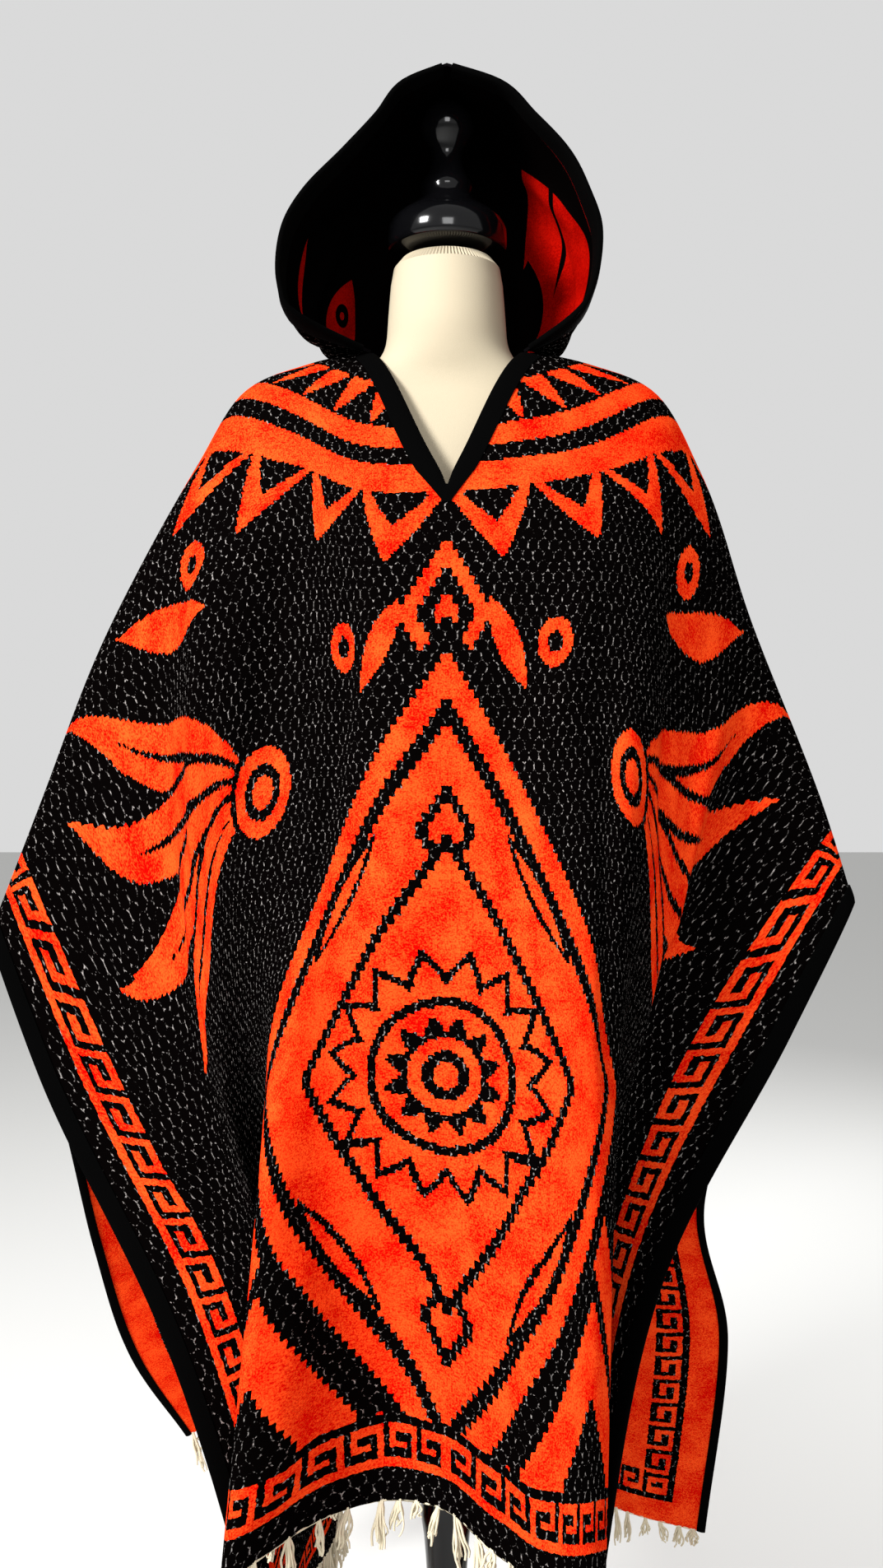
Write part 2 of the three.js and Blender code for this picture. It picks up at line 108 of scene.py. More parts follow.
# Soft folds that open out towards a hem: side, across, spread, from, push
SOFT_FOLDS = (
    (-1, -300, 60, 250, 26),
    (-1, -105, 45, 200, 30),
    (-1, 20, 38, 350, -22),
    (-1, 115, 45, 250, 28),
    (-1, 290, 60, 300, 22),
    (1, -520, 55, 100, -16),
    (1, -115, 32, 500, 14),
    (1, 40, 24, 450, -12),
)
FOLD_OPENING = 1.2

# Creases laid on the flat cloth: across and down at both ends, width and depth in
# millimetres. A positive depth stands out from the cloth and a negative one sinks in.
CREASES = (
    (-90, 240, -150, 560, 26, -10),
    (-30, 330, -70, 760, 22, 8),
    (60, 300, 40, 620, 30, -8),
    (150, 240, 120, 420, 24, 8),
    (190, 330, 215, 700, 30, -9),
    (-210, 190, -260, 420, 34, -9),
    (-300, 130, -390, 330, 38, 9),
    (-420, 90, -520, 260, 42, -10),
    (-560, 60, -640, 330, 40, 9),
    (300, 130, 380, 330, 38, -9),
    (430, 80, 500, 280, 36, 9),
    (560, 60, 620, 300, 40, -9),
    (-20, 780, -60, 1050, 26, -9),
    (75, 720, 95, 1040, 22, 8),
    (-130, 820, -140, 1040, 20, 9),
    (-600, 420, -560, 900, 44, -10),
    (610, 430, 560, 900, 44, 10),
    (-90, -260, -130, -640, 30, -10),
    (70, -300, 95, -760, 26, -9),
    (0, -200, -10, -520, 34, 9),
    (-300, -140, -380, -420, 40, -10),
    (310, -150, 400, -400, 38, 9),
    (-480, -90, -600, -330, 42, 10),
    (500, -100, 610, -360, 42, -10),
    (-200, -560, -240, -1000, 34, 10),
    (190, -600, 215, -1020, 32, 9),
    (20, -640, 40, -1030, 28, -10),
    (-430, -500, -470, -980, 46, -12),
    (440, -520, 480, -1000, 46, -12),
    (-640, -430, -620, -900, 44, 10),
    (640, -460, 600, -980, 44, 10),
)


# How a crease wavers along its length, and how it fades: full over the middle of its
# length, and gone softly past both ends
CREASE_WAVER = 0.12
CREASE_WAVES = 5
CREASE_FULL_HALF = 0.32
CREASE_FADE = 0.02

# The cloth lies flat round the neck: half sizes of the flat oval and its centre, across and down
FLAT_NECK_ACROSS = 110
FLAT_NECK_DOWN = 190
FLAT_NECK_CENTRE = 60
FLAT_NECK_START = 0.9


def hermite(knots, values, position):
    """A smooth curve through values at uneven knots. values is (knots, points, axes)."""
    knots = np.asarray(knots, float)
    last = len(knots) - 1
    widths = np.diff(knots)
    slopes = np.diff(values, axis=0) / widths[:, None, None]
    tangents = np.empty_like(values)
    tangents[0] = slopes[0]
    tangents[last] = slopes[-1]
    for i in range(1, last):
        before, after = widths[i - 1], widths[i]
        tangents[i] = (after * slopes[i - 1] + before * slopes[i]) / (before + after)
    cell = np.clip(np.searchsorted(knots, position) - 1, 0, last - 1)
    width = widths[cell][:, None]
    t = ((position - knots[cell]) / widths[cell])[:, None]
    points = np.arange(len(position))
    low, high = values[cell, points], values[cell + 1, points]
    low_way, high_way = tangents[cell, points] * width, tangents[cell + 1, points] * width
    return (
        (2 * t**3 - 3 * t**2 + 1) * low
        + (t**3 - 2 * t**2 + t) * low_way
        + (3 * t**2 - 2 * t**3) * high
        + (t**3 - t**2) * high_way
    )


def same_for_all(values, count):
    """Section values (knots, axes) repeated for every point."""
    return np.repeat(np.asarray(values, float)[:, None, :], count, axis=1)


def cloth_points(across, down):
    """The middle of the cloth's thickness at places on the flat blanket, in millimetres."""
    across = np.asarray(across, float)
    down = np.asarray(down, float)
    count = len(across)
    sections = np.stack([
        hermite(knots, same_for_all(np.column_stack((x, y, z)), count), across)
        for _, knots, x, y, z in DRAPE_SECTIONS
    ])
    points = hermite([section[0] for section in DRAPE_SECTIONS], sections, down)
    for side, middle, spread, start, push in SOFT_FOLDS:
        reach = np.maximum(0, down * side - start) / (PANEL_LENGTH - start)
        offset = (across - middle) / spread
        points[:, 1] += push * reach**FOLD_OPENING * np.exp(-offset**2)
    return points


def unit(vectors):
    return vectors / np.maximum(np.linalg.norm(vectors, axis=1), 1e-9)[:, None]


def cloth_normals(across, down, step=2.0):
    a = np.clip(across, step - HALF_WIDTH, HALF_WIDTH - step)
    d = np.clip(down, step - PANEL_LENGTH, PANEL_LENGTH - step)
    along = cloth_points(a, d + step) - cloth_points(a, d - step)
    sideways = cloth_points(a + step, d) - cloth_points(a - step, d)
    return unit(np.cross(along, sideways))


def crease_ends(share):
    """How full a crease is at a share of its length."""
    past = np.maximum(0, np.abs(share - 0.5) - CREASE_FULL_HALF)
    return np.exp(-past**2 / CREASE_FADE)


def crease_heights(across, down):
    """How far the listed creases lift the cloth, in millimetres."""
    height = np.zeros(len(across))
    for a0, d0, a1, d1, width, depth in CREASES:
        length = math.hypot(a1 - a0, d1 - d0)
        way = np.array([a1 - a0, d1 - d0]) / length
        share = ((across - a0) * way[0] + (down - d0) * way[1]) / length
        bend = CREASE_WAVER * width * np.sin(share * CREASE_WAVES)
        off = -(across - a0) * way[1] + (down - d0) * way[0] + bend
        height += depth * crease_ends(share) * np.exp(-(off / width) ** 2)
    from_neck = np.hypot(across / FLAT_NECK_ACROSS, (down - FLAT_NECK_CENTRE) / FLAT_NECK_DOWN)
    return height * np.clip(from_neck - FLAT_NECK_START, 0, 1)


def panel_top(across, side):
    if side > 0:
        return SLIT_LENGTH * np.maximum(0, 1 - np.abs(across) / NECK_HALF)
    return BACK_NECK_DROP * np.sqrt(np.maximum(0, 1 - (across / NECK_HALF) ** 2))


def loom_place(across, down):
    """How far a place lies from the cloth's middle line on the loom. The shoulders' slope
    starts softly, so that the woven bands run round the neck as arcs."""
    share = np.clip((np.abs(across) - NECK_HALF) / (HALF_WIDTH - NECK_HALF), 0, 1)
    soft = SLOPE_SOFTNESS
    rise = (np.sqrt(share**2 + soft**2) - soft) / (math.sqrt(1 + soft**2) - soft)
    slope = SHOULDER_SLOPE * rise
    return slope + np.abs(down) * (PANEL_LENGTH - slope) / PANEL_LENGTH


def new_object(name, vertices, faces):
    mesh = bpy.data.meshes.new(name)
    mesh.from_pydata([tuple(v) for v in vertices], [], [tuple(f) for f in faces])
    mesh.update()
    made = bpy.data.objects.new(name, mesh)
    bpy.context.collection.objects.link(made)
    return made


# Edges sharper than this stay sharp, in degrees
CLOTH_SMOOTH = 60
TAPE_SMOOTH = 50
YARN_SMOOTH = 80
FORM_SMOOTH = 40


def smooth(piece, degrees=CLOTH_SMOOTH):
    bpy.ops.object.select_all(action="DESELECT")
    piece.select_set(True)
    bpy.context.view_layer.objects.active = piece
    bpy.ops.object.shade_smooth_by_angle(angle=math.radians(degrees))
    piece.select_set(False)


def wall_object(name, points, normals, quads, low, high, flat):
    """A closed shell between two offsets of a sheet of quads. Its faces take material 0
    outside, 1 inside and 2 on the rim. flat gives each point its place on the loom."""
    count = len(points)
    vertices = np.vstack((points + normals * high, points + normals * low))
    faces = [tuple(quad) for quad in quads]
    faces += [tuple(i + count for i in reversed(quad)) for quad in quads]
    sheets = len(quads)
    used = {}
    for quad in quads:
        for i, start in enumerate(quad):
            end = quad[(i + 1) % len(quad)]
            used[(start, end)] = used.get((start, end), 0) + 1
    rim = [edge for edge in used if (edge[1], edge[0]) not in used]
    faces += [(end, start, start + count, end + count) for start, end in rim]
    made = new_object(name, vertices, faces)
    kinds = [0] * sheets + [1] * sheets + [2] * len(rim)
    made.data.polygons.foreach_set("material_index", kinds)
    uv = made.data.uv_layers.new(name="loom")
    corners = np.empty(len(made.data.loops), dtype=np.int32)
    made.data.loops.foreach_get("vertex_index", corners)
    uv.data.foreach_set("uv", (flat[corners % count] * MM).astype(np.float32).ravel())
    return made


def flat_places(across, down):
    """The loom coordinates of places on the blanket, for the woven pattern."""
    return np.column_stack((across, loom_place(across, down)))


def cloth_surface(across, down):
    """Creased points and normals of the cloth, in metres."""
    across = np.asarray(across, float)
    down = np.asarray(down, float)
    normals = cloth_normals(across, down)
    points = cloth_points(across, down) + normals * crease_heights(across, down)[:, None]
    return points * MM, normals


def grid_quads(index, turned=False):
    """Quads of a grid of point numbers. Its faces look out of rows by columns."""
    a, b = index[:-1, :-1].ravel(), index[1:, :-1].ravel()
    c, d = index[1:, 1:].ravel(), index[:-1, 1:].ravel()
    corners = (a, d, c, b) if turned else (a, b, c, d)
    return list(zip(*(side.tolist() for side in corners)))


def body_cloth():
    side = np.linspace(NECK_HALF, HALF_WIDTH, SIDE_COLUMNS + 1)
    inner = np.linspace(-NECK_HALF, NECK_HALF, NECK_COLUMNS + 1)[1:-1]
    columns = np.concatenate((-side[::-1], inner, side))
    share = np.linspace(0, 1, PANEL_ROWS + 1)[:, None]
    across = np.tile(columns, (PANEL_ROWS + 1, 1))
    downs = {}
    for facing in (1, -1):
        top = panel_top(columns, facing)
        downs[facing] = facing * (top + (PANEL_LENGTH - top) * share)
    shape = across.shape
    front_index = np.arange(across.size).reshape(shape)
    back_index = front_index + across.size
    joined = np.abs(columns) >= NECK_HALF
    back_index[0, joined] = front_index[0, joined]
    points, normals = cloth_surface(
        np.tile(across.ravel(), 2), np.concatenate((downs[1].ravel(), downs[-1].ravel()))
    )
    flat = flat_places(
        np.tile(across.ravel(), 2), np.concatenate((downs[1].ravel(), downs[-1].ravel()))
    )
    quads = grid_quads(front_index) + grid_quads(back_index, turned=True)
    kept = np.unique(np.array(quads))
    renumber = np.full(len(points), -1)
    renumber[kept] = np.arange(len(kept))
    quads = [tuple(renumber[list(quad)]) for quad in quads]
    half = CLOTH_THICKNESS / 2
    cloth = wall_object(
        "body_cloth", points[kept], normals[kept], quads, -half, half, flat[kept]
    )
    smooth(cloth)
    return cloth


# Rings of the hood from the neck seam to the crown, in millimetres:
# rise, left, right, rim y, back y, rim z, back z
HOOD_RINGS = (
    (0.10, -132, 113, -70, 104, 1450, 1436),
    (0.25, -152, 133, -80, 116, 1478, 1475),
    (0.40, -149, 139, -84, 120, 1524, 1525),
    (0.55, -129, 128, -86, 116, 1560, 1572),
    (0.70, -92, 108, -86, 104, 1598, 1615),
    (0.82, -63, 79, -84, 90, 1630, 1645),
    (0.92, -39, 48, -82, 74, 1660, 1665),
    (1.00, 0, 0, -80, 55, 1677, 1674),
)
CROWN_LIFT = 18.0
HOOD_SEAM_LIFT = 3.1
HOOD_ROUNDNESS = 0.8
HOOD_FRONT_SHARE = 0.28
HOOD_ROWS = 60
HOOD_TURNS = 54
HOOD_STEP = 0.01
HOOD_ASIDE = 0.9 * HOOD_STEP
HOOD_LEVEL_TOP = 0.96
CROWN_UPWARD = 0.5
HOOD_EDGE = 1e-6
HOOD_FLAT_SHARE = 0.1
CENTRE_SEAM_DEPTH = 1.2
CENTRE_SEAM_SHARE = 0.03
# Length of a half's neck edge and its height, for the weave
HOOD_HALF_LENGTH = 300
HOOD_HEIGHT = 330

# Creases of the hood: turn and rise at both ends, width in the same measure, depth in mm
HOOD_CREASES = (
    (-0.75, 0.05, -0.55, 0.55, 0.05, -6),
    (-0.45, 0.02, -0.30, 0.42, 0.05, 5),
    (-0.20, 0.03, -0.12, 0.50, 0.05, -6),
    (0.15, 0.02, 0.10, 0.46, 0.05, 5),
    (0.40, 0.03, 0.30, 0.50, 0.05, -6),
    (0.72, 0.04, 0.58, 0.60, 0.05, 6),
    (-0.80, 0.45, -0.35, 0.85, 0.05, 5),
    (0.82, 0.50, 0.40, 0.88, 0.05, -5),
)


def neck_seam(turn):
    """The flat places of the neck seam, from the left front end (-1) to the right one (1)."""
    way = 1 - np.abs(turn)
    side = np.where(turn < 0, -1, 1)
    front_down = HOOD_OVERLAP_DOWN * (1 - way / HOOD_FRONT_SHARE)
    angle = np.clip((way - HOOD_FRONT_SHARE) / (1 - HOOD_FRONT_SHARE), 0, 1) * np.pi / 2
    in_front = way < HOOD_FRONT_SHARE
    across = np.where(
        in_front, NECK_HALF * (1 - front_down / SLIT_LENGTH), NECK_HALF * np.cos(angle)
    )
    down = np.where(in_front, front_down, -BACK_NECK_DROP * np.sin(angle))
    return side * across, down


def hood_points(turn, rise):
    across, down = neck_seam(turn)
    base = cloth_points(across, down) + cloth_normals(across, down) * HOOD_SEAM_LIFT
    angle = turn * np.pi / 2
    wide = np.abs(np.sin(angle)) ** HOOD_ROUNDNESS
    deep = np.maximum(0, np.cos(angle)) ** HOOD_ROUNDNESS
    rings = [base]
    for ring_rise, left, right, rim_y, back_y, rim_z, back_z in HOOD_RINGS:
        reach = np.where(turn < 0, left, right)
        lift = CROWN_LIFT * ring_rise**4 * np.sin(np.pi * (1 - np.abs(turn)))
        rings.append(np.column_stack((
            reach * wide,
            rim_y + (back_y - rim_y) * deep,
            rim_z + (back_z - rim_z) * deep + lift,
        )))
    knots = [0] + [ring[0] for ring in HOOD_RINGS]
    return hermite(knots, np.stack(rings), rise)


def hood_surface(turn, rise, side):
    """Creased points and normals of one half of the hood, in metres."""
    inside = side * np.clip(np.abs(turn), HOOD_STEP, 1 - HOOD_STEP)
    level = np.clip(rise, HOOD_STEP, HOOD_LEVEL_TOP)
    around = hood_points(inside + HOOD_ASIDE, level) - hood_points(inside - HOOD_ASIDE, level)
    upward = hood_points(inside, level + HOOD_STEP) - hood_points(inside, level - HOOD_STEP)
    normals = unit(np.cross(upward, around))
    at_seam = np.abs(turn) < HOOD_EDGE
    normals[at_seam, 0] = 0
    at_crown = rise > 1 - HOOD_EDGE
    normals[at_crown, 0] = 0
    normals[at_crown, 2] = np.abs(normals[at_crown, 2]) + CROWN_UPWARD
    normals = unit(normals)
    height = np.zeros(len(turn))
    for t0, r0, t1, r1, width, depth in HOOD_CREASES:
        length = math.hypot(t1 - t0, r1 - r0)
        way = np.array([t1 - t0, r1 - r0]) / length
        share = ((turn - t0) * way[0] + (rise - r0) * way[1]) / length
        off = -(turn - t0) * way[1] + (rise - r0) * way[0]
        height += depth * crease_ends(share) * np.exp(-(off / width) ** 2)
    height *= np.clip(np.abs(turn) / HOOD_FLAT_SHARE, 0, 1)
    height *= np.clip((1 - rise) / HOOD_FLAT_SHARE, 0, 1)
    height -= CENTRE_SEAM_DEPTH * np.exp(-(turn / CENTRE_SEAM_SHARE) ** 2)
    points = hood_points(side * np.abs(turn), rise) + normals * height[:, None]
    return points * MM, normals


def hood_half(name, side):
    turns = side * np.linspace(0, 1, HOOD_TURNS + 1)
    rises = np.linspace(0, 1, HOOD_ROWS + 1)
    turn, rise = (grid.ravel() for grid in np.meshgrid(turns, rises))
    points, normals = hood_surface(turn, rise, side)
    index = np.arange(points.shape[0]).reshape(HOOD_ROWS + 1, HOOD_TURNS + 1)
    quads = grid_quads(index, turned=side > 0)
    half = CLOTH_THICKNESS / 2
    flat = np.column_stack((turn * HOOD_HALF_LENGTH, rise * HOOD_HEIGHT))
    hood = wall_object(name, points, normals, quads, -half, half, flat)
    smooth(hood)
    return hood


TIP_STEPS = 5


def bound_edge(name, edge, rails, normals, inside=None):
    """A strip folded over an edge. rails are lines on the cloth from the far side of the
    strip to the edge itself, and normals belong to the rails. inside holds the rails of
    the inner fold where they differ."""
    inside = inside or rails
    out = unit(edge - rails[-2])
    inner = CLOTH_THICKNESS / 2 + SEAM_GAP
    outer = inner + BINDING_THICKNESS
    angles = np.linspace(np.pi / 2, -np.pi / 2, TIP_STEPS + 2)[1:-1]
    swell = (0.0, BINDING_SWELL, BINDING_SWELL)
    rings = []
    for rail, normal, lift in zip(rails[:-1], normals, swell):
        rings.append(rail + normal * (outer + lift))
    last = normals[-1]
    for angle in angles:
        rings.append(edge + out * outer * math.cos(angle) + last * outer * math.sin(angle))
    for rail, normal, lift in reversed(list(zip(inside[:-1], normals, swell))):
        rings.append(rail - normal * (outer + lift))
    for rail, normal in zip(inside[:-1], normals):
        rings.append(rail - normal * inner)
    for angle in reversed(angles):
        rings.append(edge + out * inner * math.cos(angle) + last * inner * math.sin(angle))
    for rail, normal in reversed(list(zip(rails[:-1], normals))):
        rings.append(rail + normal * inner)
    count, stations = len(rings), len(edge)
    vertices = np.stack(rings, axis=1).reshape(-1, 3)
    faces = []
    for station in range(stations - 1):
        for i in range(count):
            a, b = station * count + i, station * count + (i + 1) % count
            faces.append((a, b, b + count, a + count))
    half = count // 2
    for station, turned in ((0, True), (stations - 1, False)):
        start = station * count
        for i in range(half - 1):
            cap = (start + i, start + i + 1, start + count - 2 - i, start + count - 1 - i)
            faces.append(cap[::-1] if turned else cap)
    strip = new_object(name, vertices, faces)
    bpy.context.view_layer.objects.active = strip
    strip.select_set(True)
    bpy.ops.object.mode_set(mode="EDIT")
    bpy.ops.mesh.select_all(action="SELECT")
    bpy.ops.mesh.normals_make_consistent(inside=False)
    bpy.ops.object.mode_set(mode="OBJECT")
    smooth(strip, TAPE_SMOOTH)
    return strip


SIDE_STATIONS = 260
NECK_STATIONS = 60
HOOD_STATIONS = 70
RAIL_SHARES = (0.0, 0.35, 0.75, 1.0)
BINDING_SWELL = 0.5 * MM
HEM_MARGIN = 0.5
NECK_END_SHARE = 0.015
# The neck tape turns from the V's point to its sides over this share, and then leans by this
POINT_SHARE = 0.16
SIDE_TURN = 0.72
HOOD_TAPE_FROM, HOOD_TAPE_TO = 0.012, 0.992
HOOD_TAPE_SHARE = 0.075


def side_binding(name, side):
    down = np.linspace(HEM_MARGIN - PANEL_LENGTH, PANEL_LENGTH - HEM_MARGIN, SIDE_STATIONS)
    rails, inside, normals = [], [], []
    for share in RAIL_SHARES:
        for width, lines in ((BINDING_WIDTH, rails), (INNER_BINDING_WIDTH, inside)):
            across = side * (HALF_WIDTH - width * (1 - share))
            points, normal = cloth_surface(np.full(SIDE_STATIONS, across), down)
            lines.append(points)
        normals.append(normal)
    return bound_edge(name, rails[-1], rails, normals, inside)


def neck_binding():
    stops = np.linspace(-1, 1, NECK_STATIONS)
    start_share = HOOD_OVERLAP_DOWN / SLIT_LENGTH + NECK_END_SHARE
    share = 1 - np.abs(stops) * (1 - start_share)
    down = SLIT_LENGTH * share
    across = np.sign(stops) * NECK_HALF * (1 - share)
    turn = np.clip(np.abs(stops) / POINT_SHARE, 0, 1)
    out_across = np.sign(stops) * turn
    out_down = 1 - SIDE_TURN * turn
    rails, normals = [], []
    for way in RAIL_SHARES:
        reach = BINDING_WIDTH * (1 - way)
        points, normal = cloth_surface(across + reach * out_across, down + reach * out_down)
        rails.append(points)
        normals.append(normal)
    return bound_edge("neck_tape", rails[-1], rails, normals)


def hood_binding(name, side):
    rise = np.linspace(HOOD_TAPE_FROM, HOOD_TAPE_TO, HOOD_STATIONS)
    rails, normals = [], []
    for share in RAIL_SHARES:
        turn = np.full(HOOD_STATIONS, side * (1 - HOOD_TAPE_SHARE * (1 - share)))
        points, normal = hood_surface(turn, rise, side)
        rails.append(points)
        normals.append(normal)
    return bound_edge(name, rails[-1], rails, normals)


# Yarn fringe
TUFTS = 74
YARNS = 9
YARN_SIDES = 5
YARN_STEPS = 9
YARN_RADIUS = 1.15 * MM
TUFT_LENGTH = 40 * MM
TUFT_MARGIN = 10
TUFT_JITTER = 3
TUFT_ROOT_INSET = 1.5
TUFT_WAY_STEP = 8
TUFT_LEAN = 0.16
TUFT_OUT = 0.45
TUFT_DOWN = 0.75
TUFT_WIDE = 3.4 * MM
TUFT_DEEP = 2.4 * MM
ROOT_WIDE = 0.8 * MM
ROOT_DEEP = 0.3 * MM
YARN_CURL = 3.2 * MM
YARN_BULGE = 0.62
YARN_END = 0.8
# Ranges that the random draws keep to, as shares of a size, and waves and phases in radians
CORD_SWELL = (0.7, 1.15)
TUFT_LENGTHS = (0.4, 1.15)
TUFT_SPREADS = (0.6, 1.5)
YARN_LENGTHS = (0.75, 1.08)
YARN_SWELL = (0.8, 1.25)
YARN_WAVES = (5, 10)
YARN_PHASES = (0, 6.28)
HEM_CORD_RADIUS = 1.5 * MM
HEM_CORD_STEPS = 400
HEM_CORD_MARGIN = 2
HEM_CORD_INSET = 0.2
HEM_CORD_WAVER = 0.25 * MM


def tube(path, radii, sides):
    """Points and faces of a closed tube along a path."""
    along = np.gradient(path, axis=0)
    along = unit(along)
    side = unit(np.cross(along, np.array([[0.0, 1.0, 0.01]])))
    up = np.cross(side, along)
    points, faces = [], []
    for i, (centre, radius) in enumerate(zip(path, radii)):
        for j in range(sides):
            angle = 2 * math.pi * j / sides
            points.append(centre + radius * (side[i] * math.cos(angle) + up[i] * math.sin(angle)))
    for i in range(len(path) - 1):
        for j in range(sides):
            a, b = i * sides + j, i * sides + (j + 1) % sides
            faces.append((a, b, b + sides, a + sides))
    last = (len(path) - 1) * sides
    faces.append(tuple(reversed(range(sides))))
    faces.append(tuple(last + j for j in range(sides)))
    return points, faces


def fringe(name, side, seed):
    """A hem's cord and the tufts of cream warp yarn that hang from it."""
    chance = np.random.default_rng(seed)
    places = np.linspace(TUFT_MARGIN - HALF_WIDTH, HALF_WIDTH - TUFT_MARGIN, TUFTS)
    places = places + chance.uniform(-TUFT_JITTER, TUFT_JITTER, TUFTS)
    end = np.full(TUFTS, side * (PANEL_LENGTH - TUFT_ROOT_INSET))
    roots, normals = cloth_surface(places, end)
    ways = unit(roots - cloth_surface(places, end - side * TUFT_WAY_STEP)[0])
    along = np.linspace(HEM_CORD_MARGIN - HALF_WIDTH, HALF_WIDTH - HEM_CORD_MARGIN, HEM_CORD_STEPS)
    hem = np.full(HEM_CORD_STEPS, side * (PANEL_LENGTH - HEM_CORD_INSET))
    edge, _ = cloth_surface(along, hem)
    edge += chance.normal(0, HEM_CORD_WAVER, edge.shape)
    cord_radii = HEM_CORD_RADIUS * chance.uniform(*CORD_SWELL, HEM_CORD_STEPS)
    vertices, faces = tube(edge, cord_radii, YARN_SIDES)
    for root, normal, way in zip(roots, normals, ways):
        length = TUFT_LENGTH * chance.uniform(*TUFT_LENGTHS)
        lean = chance.normal(0, TUFT_LEAN, 3)
        hang = unit(np.array([way * TUFT_OUT + np.array([0, 0, -TUFT_DOWN]) + lean]))[0]
        side_way = unit(np.array([np.cross(hang, normal)]))[0]
        spread = chance.uniform(*TUFT_SPREADS)
        for _ in range(YARNS):
            offset = chance.normal(0, 1, 2)
            steps = np.linspace(0, 1, YARN_STEPS)[:, None]
            own = length * chance.uniform(*YARN_LENGTHS)
            curl = chance.uniform(-1, 1, 2) * YARN_CURL
            phase = chance.uniform(*YARN_PHASES, 2)
            waves = chance.uniform(*YARN_WAVES)
            bulge = np.sin(steps * np.pi * YARN_BULGE)
            swing = np.sin(waves * steps + phase) * steps * curl
            path = (
                root
                + hang * own * steps
                + side_way * (offset[0] * TUFT_WIDE * spread * bulge + swing[:, :1])
                + normal * (offset[1] * TUFT_DEEP * spread * bulge + swing[:, 1:])
            )
            path[0] = root + side_way * offset[0] * ROOT_WIDE + normal * offset[1] * ROOT_DEEP
            taper = np.linspace(1.0, YARN_END, YARN_STEPS)
            radii = YARN_RADIUS * taper * chance.uniform(*YARN_SWELL)
            points, rings = tube(path, radii, YARN_SIDES)
            start = len(vertices)
            vertices += points
            faces += [tuple(start + i for i in ring) for ring in rings]
    made = new_object(name, vertices, faces)
    smooth(made, YARN_SMOOTH)
    return made


# Dress form, in millimetres: height, half width, front and back depth
TORSO_SECTIONS = (
    (800, 150, 92, 92), (900, 158, 96, 98), (1000, 136, 84, 82), (1080, 124, 82, 78),
    (1180, 146, 94, 84), (1260, 166, 92, 88), (1320, 178, 78, 84), (1370, 178, 58, 68),
    (1388, 160, 44, 56), (1400, 128, 42, 50), (1409, 99, 42, 48), (1417, 80, 44, 48),
    (1426, 68, 47, 50), (1437, 60, 50, 52), (1450, 57.5, 53, 54), (1465, 57, 55, 55),
    (1500, 54, 52, 52), (1534, 51, 50, 50),
)
CAP_RINGS = (
    (1534.3, 54), (1536, 56.5), (1540, 58), (1552, 58), (1560, 55.5), (1566, 50), (1573, 40),
    (1578, 33), (1583, 27), (1588, 24.5), (1593, 25.5), (1598, 25), (1606, 20), (1616, 16),
    (1624, 14.6), (1630, 15), (1637, 19), (1644, 24), (1651, 26.4), (1658, 26), (1665, 24),
    (1672, 20.5), (1679, 14), (1684, 8), (1687, 2),
)
POLE_RINGS = (
    (22.3, 23), (25, 24), (34, 23.5), (41, 19), (48, 16.3), (60, 15), (110, 14.4), (180, 15),
    (240, 18), (280, 20.6), (300, 22.4), (312, 24.4), (322, 25.4), (332, 25), (342, 23.6),
    (350, 21.4), (358, 18), (366, 16), (380, 15.6), (560, 15.8), (750, 16), (758, 18),
    (768, 27), (774, 30), (799.7, 30),
)
BASE_RINGS = (
    (0, 166), (1.2, 169), (4, 170), (7.5, 169), (9.5, 165), (12, 140), (14, 118), (17, 84),
    (19, 56), (20.5, 42), (22, 38),
)
ROUND_SIDES = 96


def turned(name, rings, squash=None):
    """A round body raised ring by ring. squash gives each ring's depth share and its shift."""
    bpy.ops.object.select_all(action="DESELECT")
    bpy.ops.mesh.primitive_circle_add(
        vertices=ROUND_SIDES, radius=1.0, fill_type="NGON", location=(0, 0, 0)
    )
    made = bpy.context.object
    made.name = name
    bpy.ops.object.mode_set(mode="EDIT")
    bpy.ops.mesh.select_all(action="SELECT")
    old = (1.0, 1.0, 0.0, 0.0)
    for i, (height, radius) in enumerate(rings):
        depth, shift = squash[i] if squash else (1.0, 0.0)
        new = (radius * MM, radius * MM * depth, shift * MM, height * MM)
        if i:
            bpy.ops.mesh.extrude_region_move(
                TRANSFORM_OT_translate={"value": (0, new[2] - old[2], new[3] - old[3])}
            )
        else:
            bpy.ops.transform.translate(value=(0, new[2], new[3]))
        bpy.ops.transform.resize(
            value=(new[0] / old[0], new[1] / old[1], 1),
            center_override=(0, new[2], new[3]),
        )
        old = new
    bpy.ops.mesh.select_all(action="SELECT")
    bpy.ops.mesh.normals_make_consistent(inside=False)
    bpy.ops.object.mode_set(mode="OBJECT")
    smooth(made, FORM_SMOOTH)
    return made


def torso():
    rings, squash = [], []
    for height, half, front, back in TORSO_SECTIONS:
        rings.append((height, half))
        squash.append(((front + back) / 2 / half, (back - front) / 2))
    made = turned("torso_jersey", rings, squash)
    rounding = made.modifiers.new("rounding", "SUBSURF")
    rounding.levels = rounding.render_levels = 1
    bpy.context.view_layer.objects.active = made
    bpy.ops.object.modifier_apply(modifier=rounding.name)
    smooth(made, FORM_SMOOTH)
    return made


def linear(hex_colour):
    """An sRGB colour as linear RGBA."""
    channels = [int(hex_colour[i:i + 2], 16) / 255 for i in (1, 3, 5)]
    light = [c / 12.92 if c <= 0.04045 else ((c + 0.055) / 1.055) ** 2.4 for c in channels]
    return (*light, 1)


